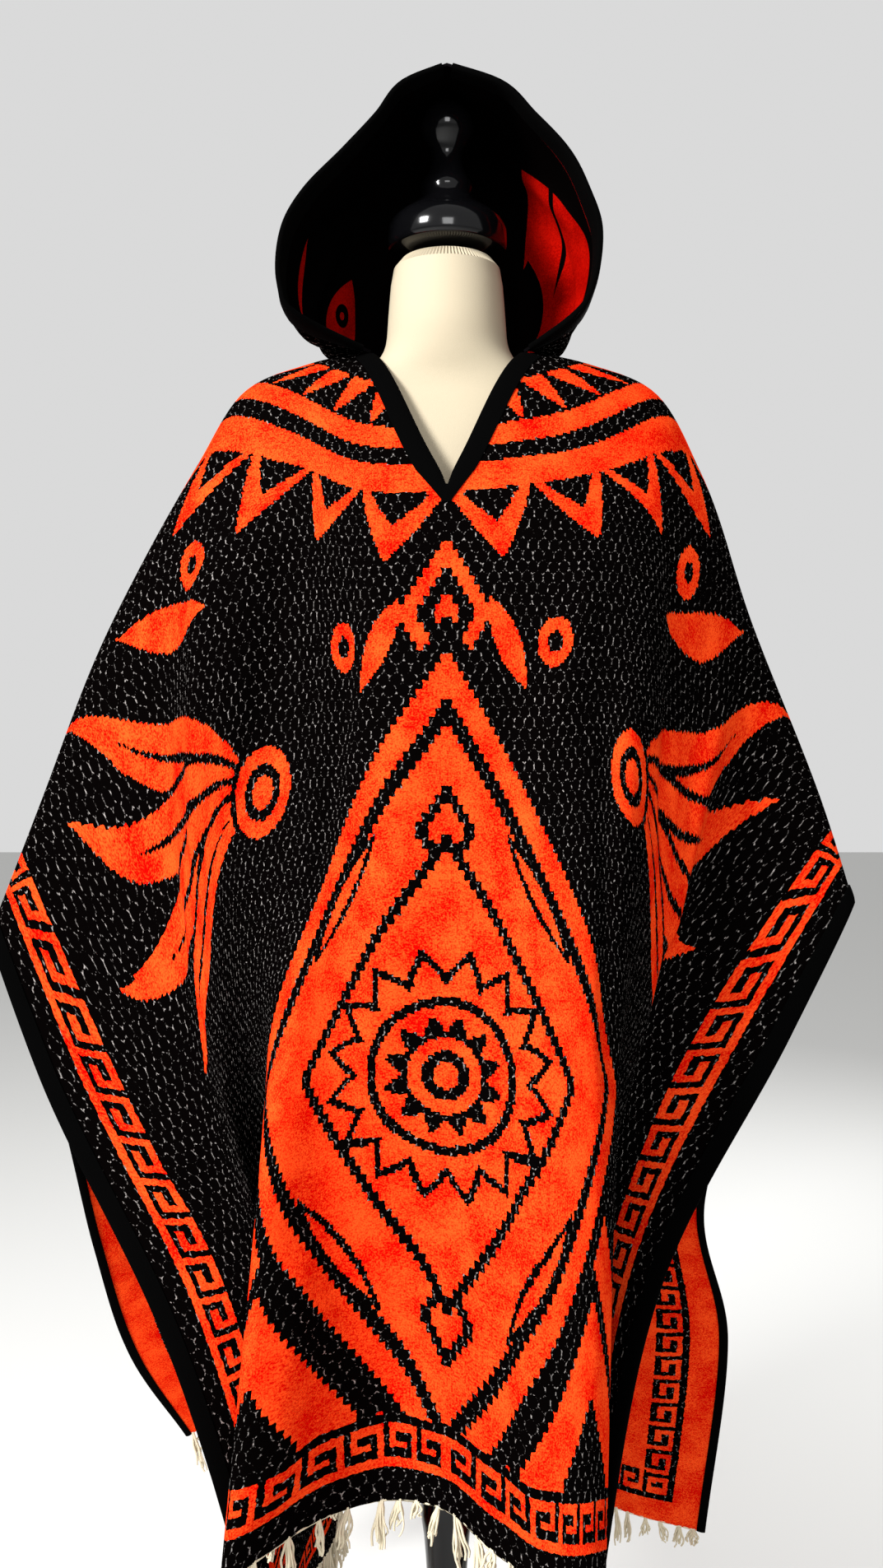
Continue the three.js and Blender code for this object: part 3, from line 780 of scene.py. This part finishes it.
def add(tree, kind, *inputs, out=0, named=None, **settings):
    """Adds a node and returns one of its outputs. A kind in capitals is a Math operation.
    inputs fill its sockets in order and named ones by name, each with a value or a socket."""
    node = tree.nodes.new("ShaderNodeMath" if kind.isupper() else "ShaderNode" + kind)
    if kind.isupper():
        node.operation = kind
    for setting, value in settings.items():
        setattr(node, setting, value)
    for place, given in list(enumerate(inputs)) + list((named or {}).items()):
        if isinstance(given, bpy.types.NodeSocket):
            tree.links.new(given, node.inputs[place])
        elif given is not None:
            node.inputs[place].default_value = given
    return node.outputs[out] if node.outputs else None


def material(name):
    made = bpy.data.materials.new(name)
    made.use_nodes = True
    made.node_tree.nodes.clear()
    return made, made.node_tree


def finish_material(tree, colour, roughness, bump=None, **shader):
    """Joins a Principled shader to the output. Extra sockets are named with underscores."""
    named = {"Base Color": colour, "Roughness": roughness}
    if bump is not None:
        named["Normal"] = bump
    named.update({key.replace("_", " "): value for key, value in shader.items()})
    add(tree, "OutputMaterial", add(tree, "BsdfPrincipled", named=named))


# Woven pattern, in loom millimetres. A figure's edge steps by one pick of WEAVE_CELL and
# strays by RAGGED_STRAY, as thick soft weft does. A noise's scale is in waves a millimetre.
WEAVE_CELL = 2.6
RAGGED_NOISE = {"Scale": 0.22, "Detail": 1.0}
RAGGED_STRAY = 3.4
KEY_STROKE_ALONG = 5.2
KEY_STROKE_DEEP = 7.2
KEY_UNIT = 6
SIDE_KEY_FROM = 38.0
HEM_KEY_FROM = 28.0
# The key's rows from the spine inwards, each as a number whose bits are its six strokes
KEY_ROWS = (63, 1, 29, 17, 31)
KEY_MARGIN_ROWS = 1.2

# Shapes of the generic design, painted in this order on the mirrored half of the cloth.
# ring: ink, across, down, radius, half its width, squash
# teeth: ink, across, down, radius, height, count, squash
# steps: ink, across, down, number of stairs from the middle to a point
# leaf: ink, across, down, angle, half length, half width
# bar: ink, across, down, angle, half length, half width
# squash is how much flatter than round a ring lies, 1 for round.
STAIR_ACROSS = 5.2
STAIR_DOWN = 7.8
COLLAR_SQUASH = 1.7
DESIGN = (
    ("teeth", 1, 0, 0, 318, 112, 24, COLLAR_SQUASH),
    ("teeth", 0, 0, 0, 300, 74, 24, COLLAR_SQUASH),
    ("teeth", 1, 0, 0, 122, 86, 26, COLLAR_SQUASH),
    ("ring", 0, 0, 0, 66, 72, COLLAR_SQUASH),
    ("ring", 1, 0, 0, 226, 17, COLLAR_SQUASH),
    ("ring", 0, 0, 0, 258, 15, COLLAR_SQUASH),
    ("ring", 1, 0, 0, 297, 24, COLLAR_SQUASH),
    ("ring", 1, 116, 322, 15, 6, 1),
    ("leaf", 1, 62, 322, 62, 44, 13),
    ("steps", 1, 0, 296, 8),
    ("steps", 0, 0, 296, 5),
    ("steps", 1, 0, 296, 2),
    ("ring", 1, 322, 196, 14, 6, 1),
    ("leaf", 1, 372, 222, -24, 76, 17),
    ("leaf", 0, 393, 322, -35, 200, 34),
    ("leaf", 1, 393, 322, -35, 190, 27),
    ("leaf", 0, 411, 358, -23, 204, 34),
    ("leaf", 1, 411, 358, -23, 194, 27),
    ("leaf", 0, 423, 398, -10, 200, 34),
    ("leaf", 1, 423, 398, -10, 190, 27),
    ("leaf", 0, 392, 444, 5, 170, 32),
    ("leaf", 1, 392, 444, 5, 160, 25),
    ("leaf", 0, 393, 322, -35, 120, 4),
    ("leaf", 0, 411, 358, -23, 124, 4),
    ("leaf", 0, 423, 398, -10, 120, 4),
    ("leaf", 0, 392, 444, 5, 100, 4),
    ("ring", 0, 244, 430, 20, 26, 1),
    ("ring", 1, 244, 430, 16, 22, 1),
    ("ring", 0, 244, 430, 19, 5, 1),
    ("steps", 1, 172, 985, 29),
    ("steps", 0, 172, 985, 20),
    ("steps", 1, 172, 985, 17),
    ("steps", 0, 172, 985, 8),
    ("steps", 0, 0, 690, 50),
    ("steps", 1, 0, 690, 46),
    ("steps", 0, 0, 690, 41),
    ("steps", 1, 0, 690, 38),
    ("leaf", 0, 96, 540, 56, 66, 12),
    ("leaf", 1, 96, 540, 56, 52, 6),
    ("leaf", 0, 96, 840, -56, 66, 12),
    ("leaf", 1, 96, 840, -56, 52, 6),
    ("steps", 0, 0, 484, 5),
    ("steps", 1, 0, 484, 3),
    ("steps", 0, 0, 896, 5),
    ("steps", 1, 0, 896, 3),
    ("steps", 0, 0, 690, 26),
    ("steps", 1, 0, 690, 24),
    ("teeth", 0, 0, 690, 84, 24, 16, 1),
    ("teeth", 1, 0, 690, 74, 24, 16, 1),
    ("ring", 0, 0, 690, 62, 4, 1),
    ("teeth", 0, 0, 690, 36, 16, 12, 1),
    ("ring", 1, 0, 690, 14, 18, 1),
    ("ring", 0, 0, 690, 16, 5, 1),
)

# Brushed red patches of the hood's lining, where across is the turn and down the rise. Round them
# the lining is painted plain black as shade inside the hood.
LINING = (
    ("leaf", 1, 180, 128, 93, 124, 78),
    ("leaf", 0, 108, 100, 84, 66, 30),
    ("leaf", 0, 196, 190, 62, 84, 5),
    ("leaf", 1, -136, 92, 78, 52, 28),
    ("ring", 0, -134, 104, 8, 4, 1),
    ("ring", 0, -148, 74, 7, 4, 1),
    ("leaf", 1, -228, 120, 96, 40, 6),
    ("bar", 1, 274, 190, 90, 130, 1.6),
)


def painted(tree, ink, mask, below):
    """Lays a shape's mask over what is already painted, in ink 1 or 0."""
    if ink:
        return add(tree, "MAXIMUM", below, mask)
    return add(tree, "MULTIPLY", below, add(tree, "SUBTRACT", 1.0, mask))


def shape_mask(tree, kind, sizes, across, down):
    """A node mask of one shape of the design, 1 inside it and 0 outside."""
    a = add(tree, "SUBTRACT", across, float(sizes[0]))
    b = add(tree, "SUBTRACT", down, float(sizes[1]))
    if kind in ("ring", "teeth"):
        b = add(tree, "MULTIPLY", b, float(sizes[-1]))
        squares = add(tree, "ADD", add(tree, "MULTIPLY", a, a), add(tree, "MULTIPLY", b, b))
        away = add(tree, "SQRT", squares)
        if kind == "ring":
            radius, half = sizes[2:4]
            off = add(tree, "ABSOLUTE", add(tree, "SUBTRACT", away, float(radius)))
            return add(tree, "LESS_THAN", off, float(half))
        radius, height, count = sizes[2:5]
        turn = add(tree, "MULTIPLY", add(tree, "ARCTAN2", a, b), count / math.pi)
        tooth = add(tree, "MULTIPLY", add(tree, "PINGPONG", turn, 1.0), float(height))
        return add(tree, "LESS_THAN", away, add(tree, "ADD", tooth, float(radius)))
    if kind == "steps":
        stairs = [
            add(tree, "FLOOR", add(tree, "DIVIDE", add(tree, "ABSOLUTE", off), step))
            for off, step in ((a, STAIR_ACROSS), (b, STAIR_DOWN))
        ]
        return add(tree, "LESS_THAN", add(tree, "ADD", *stairs), float(sizes[2]))
    angle, length, width = sizes[2:]
    cosine, sine = math.cos(math.radians(angle)), math.sin(math.radians(angle))
    along, sideways = (
        add(tree, "ADD", add(tree, "MULTIPLY", a, by_a), add(tree, "MULTIPLY", b, by_b))
        for by_a, by_b in ((cosine / length, sine / length), (-sine / width, cosine / width))
    )
    sideways = add(tree, "ABSOLUTE", sideways)
    if kind == "bar":
        reach = add(tree, "MAXIMUM", sideways, add(tree, "ABSOLUTE", along))
    else:
        reach = add(tree, "ADD", sideways, add(tree, "MULTIPLY", along, along))
    return add(tree, "LESS_THAN", reach, 1.0)


def key_mask(tree, along, depth):
    """The Greek key: rows of strokes picked from the bits of KEY_ROWS."""
    column = add(tree, "FLOOR", add(tree, "DIVIDE", along, KEY_STROKE_ALONG))
    column = add(tree, "FLOORED_MODULO", column, float(KEY_UNIT))
    power = add(tree, "POWER", 2.0, column)
    row = add(tree, "FLOOR", add(tree, "DIVIDE", depth, KEY_STROKE_DEEP))
    ink = None
    for number, bits in enumerate(KEY_ROWS):
        stroke = add(tree, "FLOOR", add(tree, "DIVIDE", float(bits), power))
        stroke = add(tree, "FLOORED_MODULO", stroke, 2.0)
        here = add(tree, "COMPARE", row, float(number), 0.1)
        part = add(tree, "MULTIPLY", stroke, here)
        ink = part if ink is None else add(tree, "ADD", ink, part)
    return ink


def loom_coordinates(tree):
    """The place on the loom in millimetres, and its across and down alone."""
    place = add(tree, "UVMap", uv_map="loom")
    place = add(tree, "VectorMath", place, None, None, 1000.0, operation="SCALE")
    return place, add(tree, "SeparateXYZ", place), add(tree, "SeparateXYZ", place, out=1)


def woven_design(tree, place, across, down):
    """1 where the orange shows outside, 0 where the dark ground does."""
    ragged = add(tree, "TexNoise", named={"Vector": place, **RAGGED_NOISE})
    ragged = add(tree, "MULTIPLY", add(tree, "SUBTRACT", ragged, 0.5), RAGGED_STRAY)
    x = add(tree, "ABSOLUTE", add(tree, "ADD", across, ragged))
    y = add(tree, "ADD", down, ragged)
    x = add(tree, "ADD", add(tree, "SNAP", x, WEAVE_CELL), WEAVE_CELL / 2)
    y = add(tree, "ADD", add(tree, "SNAP", y, WEAVE_CELL), WEAVE_CELL / 2)
    ink = add(tree, "MULTIPLY", x, 0.0)
    for kind, colour, *sizes in DESIGN:
        ink = painted(tree, colour, shape_mask(tree, kind, sizes, x, y), ink)
    from_side = add(tree, "SUBTRACT", HALF_WIDTH - SIDE_KEY_FROM, x)
    from_hem = add(tree, "SUBTRACT", PANEL_LENGTH - HEM_KEY_FROM, y)
    by_side = add(tree, "LESS_THAN", from_side, from_hem)
    along = add(tree, "Mix", by_side, named={2: x, 3: y})
    depth = add(tree, "MINIMUM", from_side, from_hem)
    border_depth = KEY_STROKE_DEEP * (len(KEY_ROWS) + KEY_MARGIN_ROWS)
    border = add(tree, "LESS_THAN", depth, border_depth)
    ink = add(tree, "MULTIPLY", ink, add(tree, "SUBTRACT", 1.0, border))
    return add(tree, "MAXIMUM", ink, key_mask(tree, along, depth))


# Flecks of the dark ground, where the grey weft shows as forked dashes, in loom millimetres
FLECK_COLUMN = 11.8
FLECK_ROW = 9.4
FLECK_HALF_WIDTH = 0.65
FLECK_HALF_LENGTH = 4.2
FLECK_FORK = 2.4
FLECK_STRAY = 3.0
STRAY_NOISE = {"Scale": 0.12, "Detail": 2.0}
BREAK_NOISE = {"Scale": 0.35, "Detail": 2.0}
FLECK_BREAK = (0.50, 0.70)


def fleck_mask(tree, place, across, down):
    """Forked dashes in staggered rows, broken up as loose weft is."""
    row = add(tree, "FLOOR", add(tree, "DIVIDE", down, FLECK_ROW))
    odd = add(tree, "FLOORED_MODULO", row, 2.0)
    shifted = add(tree, "ADD", across, add(tree, "MULTIPLY", odd, FLECK_COLUMN / 2))
    stray = add(tree, "TexNoise", named={"Vector": place, **STRAY_NOISE})
    shifted = add(tree, "ADD", shifted, add(tree, "MULTIPLY", stray, FLECK_STRAY))
    x, y = (
        add(tree, "SUBTRACT", add(tree, "FLOORED_MODULO", way, pitch), pitch / 2)
        for way, pitch in ((shifted, FLECK_COLUMN), (down, FLECK_ROW))
    )
    x, y = add(tree, "ABSOLUTE", x), add(tree, "ABSOLUTE", y)
    fork = add(tree, "MAXIMUM", add(tree, "SUBTRACT", y, FLECK_FORK), 0.0)
    off = add(tree, "ABSOLUTE", add(tree, "SUBTRACT", x, fork))
    narrow = add(tree, "LESS_THAN", off, FLECK_HALF_WIDTH)
    dash = add(tree, "MULTIPLY", narrow, add(tree, "LESS_THAN", y, FLECK_HALF_LENGTH))
    broken = add(tree, "TexNoise", named={"Vector": place, **BREAK_NOISE})
    return add(tree, "MULTIPLY", dash, add(tree, "MapRange", broken, *FLECK_BREAK))


# Dyed acrylic and wool blend. Each pair is the red of a patch that lies flat and the orange
# where the brushed nap stands up. The lining's pair is both reds darkened, as painted shade
# inside the hood.
ORANGE_PAIR = ("#C20302", "#EA4818")
SHADED_LINING_PAIR = ("#7C0301", "#A20A03")
# The black ground and the grey of its flecks
GROUND_PAIR = ("#030202", "#8E8986")

# Noises of the colour patches, the mottling and the nap, each with its share of the warmth,
# and the warmth that spans a pair of colours
WARM_NOISES = (
    ({"Scale": 0.03, "Detail": 3.0}, 0.6),
    ({"Scale": 0.25, "Detail": 3.0}, 0.4),
    ({"Scale": 0.6, "Detail": 2.0}, 0.8),
)
WARMTH = (0.77, 1.05)

# The weave's relief: threads a millimetre or so thick, and the figures' pile above the ground
THREAD_NOISE = {"Scale": 0.8, "Detail": 3.0}
PILE_SHARE = 0.8
WEAVE_RELIEF = 1.2 * MM
WEAVE_STRENGTH = 0.35


def blanket_material(name, design):
    """Brushed double weave: orange figures on a dark flecked ground, reversed inside."""
    made, tree = material(name)
    place, across, down = loom_coordinates(tree)
    ink = 0.0
    if design in ("outside", "inside"):
        ink = woven_design(tree, place, across, down)
    if design == "inside":
        ink = add(tree, "SUBTRACT", 1.0, ink)
    # The hood's lining: red patches on black without flecks; the black and the missing flecks are
    # painted shade inside the hood
    if design == "lining":
        for kind, colour, *sizes in LINING:
            ink = painted(tree, colour, shape_mask(tree, kind, sizes, across, down), ink)
    warm = 0.0
    for waves, share in WARM_NOISES:
        wave = add(tree, "TexNoise", named={"Vector": place, **waves})
        warm = add(tree, "ADD", warm, add(tree, "MULTIPLY", wave, share))
    warm = add(tree, "MapRange", warm, *WARMTH)
    pair = SHADED_LINING_PAIR if design == "lining" else ORANGE_PAIR
    flecks = 0.0 if design == "lining" else fleck_mask(tree, place, across, down)
    orange, dark = (
        add(tree, "Mix", share, data_type="RGBA", out=2, named={6: linear(low), 7: linear(high)})
        for share, (low, high) in ((warm, pair), (flecks, GROUND_PAIR))
    )
    colour = add(tree, "Mix", ink, data_type="RGBA", out=2, named={6: dark, 7: orange})
    threads = add(tree, "TexNoise", named={"Vector": place, **THREAD_NOISE})
    relief = {
        "Strength": WEAVE_STRENGTH,
        "Distance": WEAVE_RELIEF,
        "Height": add(tree, "ADD", threads, add(tree, "MULTIPLY", ink, PILE_SHARE)),
    }
    bump = add(tree, "Bump", named=relief)
    finish_material(tree, colour, 1.0, bump, Specular_IOR_Level=0.0)
    return made


GRAIN_RELIEF = 0.6 * MM
GRAIN_DETAIL = 3.0


def plain_material(name, colour, roughness, grain=900.0, strength=0.3, **shader):
    """One colour with a fine grain, scaled from metres."""
    made, tree = material(name)
    place = add(tree, "TexCoord", out=3)
    waves = {"Vector": place, "Scale": grain, "Detail": GRAIN_DETAIL}
    relief = {
        "Strength": strength,
        "Distance": GRAIN_RELIEF,
        "Height": add(tree, "TexNoise", named=waves),
    }
    bump = add(tree, "Bump", named=relief)
    finish_material(tree, linear(colour), roughness, bump, **shader)
    return made


def dress(piece, slot, nodes, *materials):
    """Gives a piece its materials and the CAD nodes whose place it takes. slot is not used."""
    for each in materials:
        piece.data.materials.append(each)
    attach(piece, "root")
    if nodes:
        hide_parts(*nodes)


# The camera stands level in front. Its lens and shifts are given in pixels of the photo's width.
PHOTO_WIDTH = 1073
FOCAL_PIXELS = 1700
SHIFT_PIXELS = (-6.5, -52.5)
SENSOR_WIDTH = 36
CAMERA_PLACE = (0, -1.35, 1.063)
camera_data = bpy.data.cameras.new("camera")
camera = bpy.data.objects.new("camera", camera_data)
bpy.context.collection.objects.link(camera)
bpy.context.scene.camera = camera
camera_data.sensor_fit = "HORIZONTAL"
camera_data.sensor_width = SENSOR_WIDTH
camera_data.lens = SENSOR_WIDTH * FOCAL_PIXELS / PHOTO_WIDTH
camera_data.shift_x = SHIFT_PIXELS[0] / PHOTO_WIDTH
camera_data.shift_y = SHIFT_PIXELS[1] / PHOTO_WIDTH
camera.location = CAMERA_PLACE
camera.rotation_euler = (math.radians(90), 0, 0)

# Double-woven blanket cloth, brushed on both faces: matt, with a deep, mottled colour.
# Its cut edge is plain black, and the tape on the edges is a dull black twill.
# The fringe is loose cream warp yarn, and the form is covered in cream cotton jersey over
# foam, both matt. The cap, pole and base are turned wood in black gloss lacquer.
outside_cloth = blanket_material("blanket_outside", "outside")
inside_cloth = blanket_material("blanket_inside", "inside")
hood_cloth = blanket_material("hood_outside", "plain")
# The hood's lining carries painted shade: mostly black, with its red darkened
shaded_hood_lining = blanket_material("shaded_hood_lining", "lining")
edge_cloth = plain_material("blanket_edge", "#060506", 1.0, Specular_IOR_Level=0.01)
tape = plain_material("black_tape", "#020202", 1.0, Specular_IOR_Level=0.015)
yarn = plain_material("cream_yarn", "#C9BFA6", 0.9, grain=1500.0, Specular_IOR_Level=0.1)
jersey = plain_material("cream_jersey", "#A79C86", 0.85, grain=1200.0, Specular_IOR_Level=0.1)
lacquer = plain_material(
    "black_lacquer", "#050506", 0.12, grain=40.0, strength=0.02, Specular_IOR_Level=0.3
)

body = body_cloth()
body_nodes = ("poncho_front", "poncho_back")
dress(body, "blanket_cloth", body_nodes, outside_cloth, inside_cloth, edge_cloth)
for name, side in (("hood_left", -1), ("hood_right", 1)):
    half = hood_half(name + "_cloth", side)
    dress(half, "blanket_cloth", (name,), hood_cloth, shaded_hood_lining, edge_cloth)
    dress(hood_binding(name + "_tape", side), "binding", (), tape)
for name, side in (("side_binding_left", -1), ("side_binding_right", 1)):
    dress(side_binding(name + "_tape", side), "binding", (name,), tape)
dress(neck_binding(), "binding", ("neck_binding",), tape)
front_yarns = fringe("fringe_front_yarns", 1, 11)
dress(front_yarns, "fringe", ("fringe_front",), yarn)
back_yarns = fringe("fringe_back_yarns", -1, 23)
dress(back_yarns, "fringe", ("fringe_back",), yarn)

dress(torso(), "form_cover", ("form_torso",), jersey)
dress(turned("neck_cap_turned", CAP_RINGS), "black_lacquer", ("form_neck_cap",), lacquer)
dress(turned("pole_turned", POLE_RINGS), "black_lacquer", ("form_pole",), lacquer)
dress(turned("base_turned", BASE_RINGS), "black_lacquer", ("form_base",), lacquer)

# Pale floor, just under the base, and soft studio light
FLOOR_SIZE = 24
FLOOR_HEIGHT = -0.0005
SKY_STRENGTH = 0.7
bpy.ops.object.select_all(action="DESELECT")
bpy.ops.mesh.primitive_plane_add(size=FLOOR_SIZE, location=(0, 0, FLOOR_HEIGHT))
floor = bpy.context.object
floor.name = "floor"
floor.data.materials.append(plain_material("pale_floor", "#C4C4C2", 0.8, grain=20.0, strength=0.0))
LIGHTS = (
    # name, place, aim, size, power
    ("key", (-1.9, -2.0, 2.5), (0, 0, 1.0), 0.7, 200),
    ("fill", (0.1, -3.0, 2.1), (0, 0, 0.9), 1.0, 34),
    ("rim", (1.4, 1.9, 2.3), (0, 0, 1.0), 1.2, 70),
)
for name, place, aim, size, power in LIGHTS:
    data = bpy.data.lights.new(name, "AREA")
    data.size = size
    data.energy = power
    lamp = bpy.data.objects.new(name, data)
    bpy.context.collection.objects.link(lamp)
    lamp.location = place
    lamp.rotation_euler = (Vector(aim) - Vector(place)).to_track_quat("-Z", "Y").to_euler()
world = bpy.data.worlds.new("studio")
world.use_nodes = True
world.node_tree.nodes["Background"].inputs[0].default_value = (1, 1, 1, 1)
world.node_tree.nodes["Background"].inputs[1].default_value = SKY_STRENGTH
bpy.context.scene.world = world
bpy.context.scene.view_settings.view_transform = "Standard"
